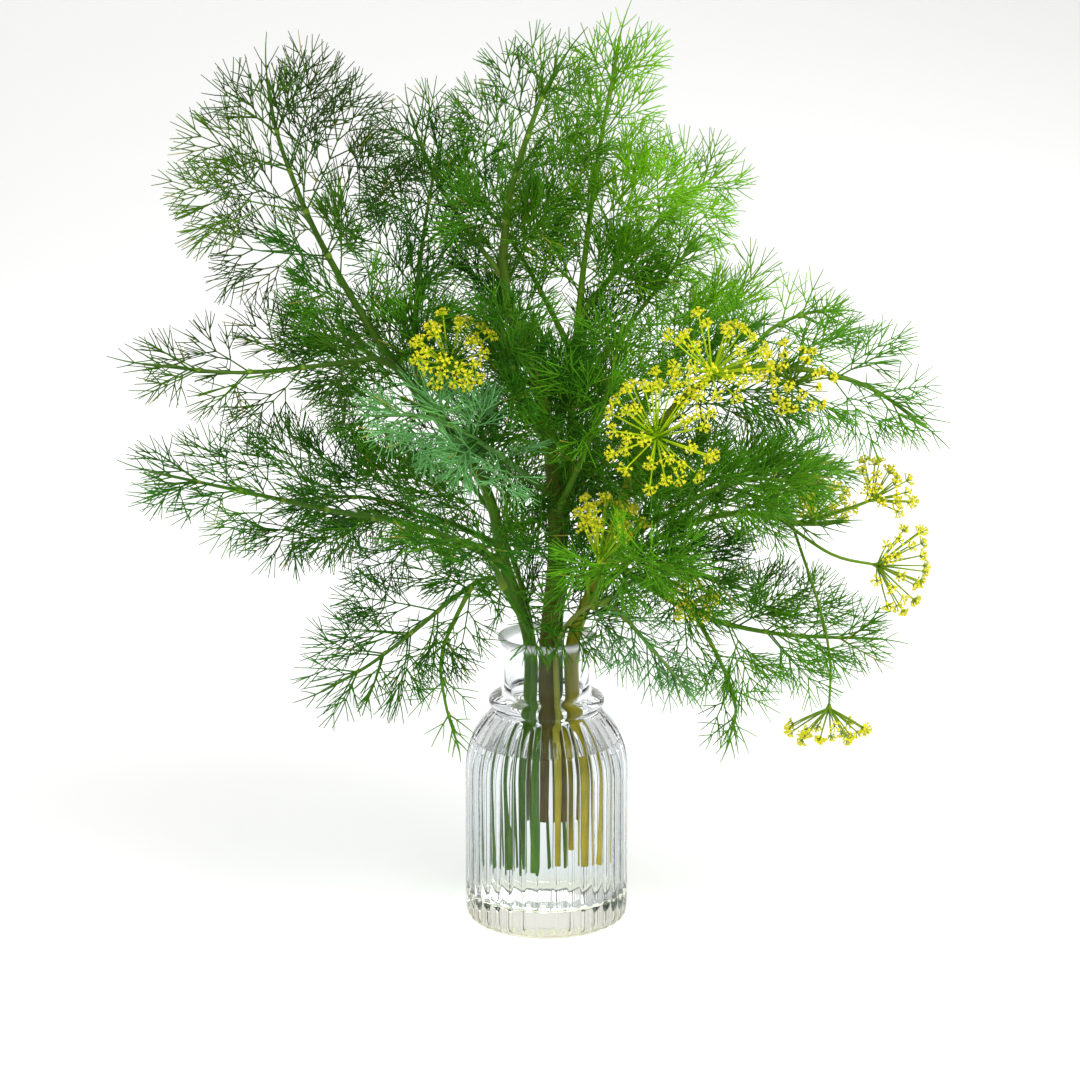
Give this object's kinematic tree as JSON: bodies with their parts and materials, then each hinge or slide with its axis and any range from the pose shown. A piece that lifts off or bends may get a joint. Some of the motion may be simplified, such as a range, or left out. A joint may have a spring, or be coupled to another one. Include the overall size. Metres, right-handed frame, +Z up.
{
  "type": "dill bunch in a glass bottle vase",
  "caption": "Bunch of flowering dill with feathery leaves and yellow umbels, standing in water in a ribbed clear glass bottle vase.",
  "frame": {"origin": "centre of the bottle's underside", "axes": "+Z up along the bottle's axis, -Y towards the side the picture shows, +X to its right"},
  "size_m": [0.3521, 0.2354, 0.4072],
  "materials": {
    "bottle_glass": "clear pressed glass",
    "clear_water": "clear water",
    "leaf_green": "fresh green herb, satin",
    "umbel_yellow": "yellow flower buds, matte"
  },
  "bodies": {
    "root": {"glass_bottle": "bottle_glass", "water": "clear_water", "leafy_stem_left": "leaf_green", "leafy_stem_centre": "leaf_green", "leafy_stem_back": "leaf_green", "leafy_stem_right_flowering": "leaf_green", "leafy_stem_right_low": "leaf_green", "leafy_stem_front_left": "leaf_green", "leafy_stem_front_right": "leaf_green", "leafy_stem_back_low": "leaf_green", "umbel_left": "umbel_yellow", "umbel_large": "umbel_yellow", "umbel_upper": "umbel_yellow", "umbel_front": "umbel_yellow", "umbel_far_right": "umbel_yellow", "umbel_right_tip": "umbel_yellow", "umbel_right_inner": "umbel_yellow", "umbel_hanging": "umbel_yellow", "umbel_small": "umbel_yellow", "umbel_green": "umbel_yellow"}
  },
  "joints": []
}
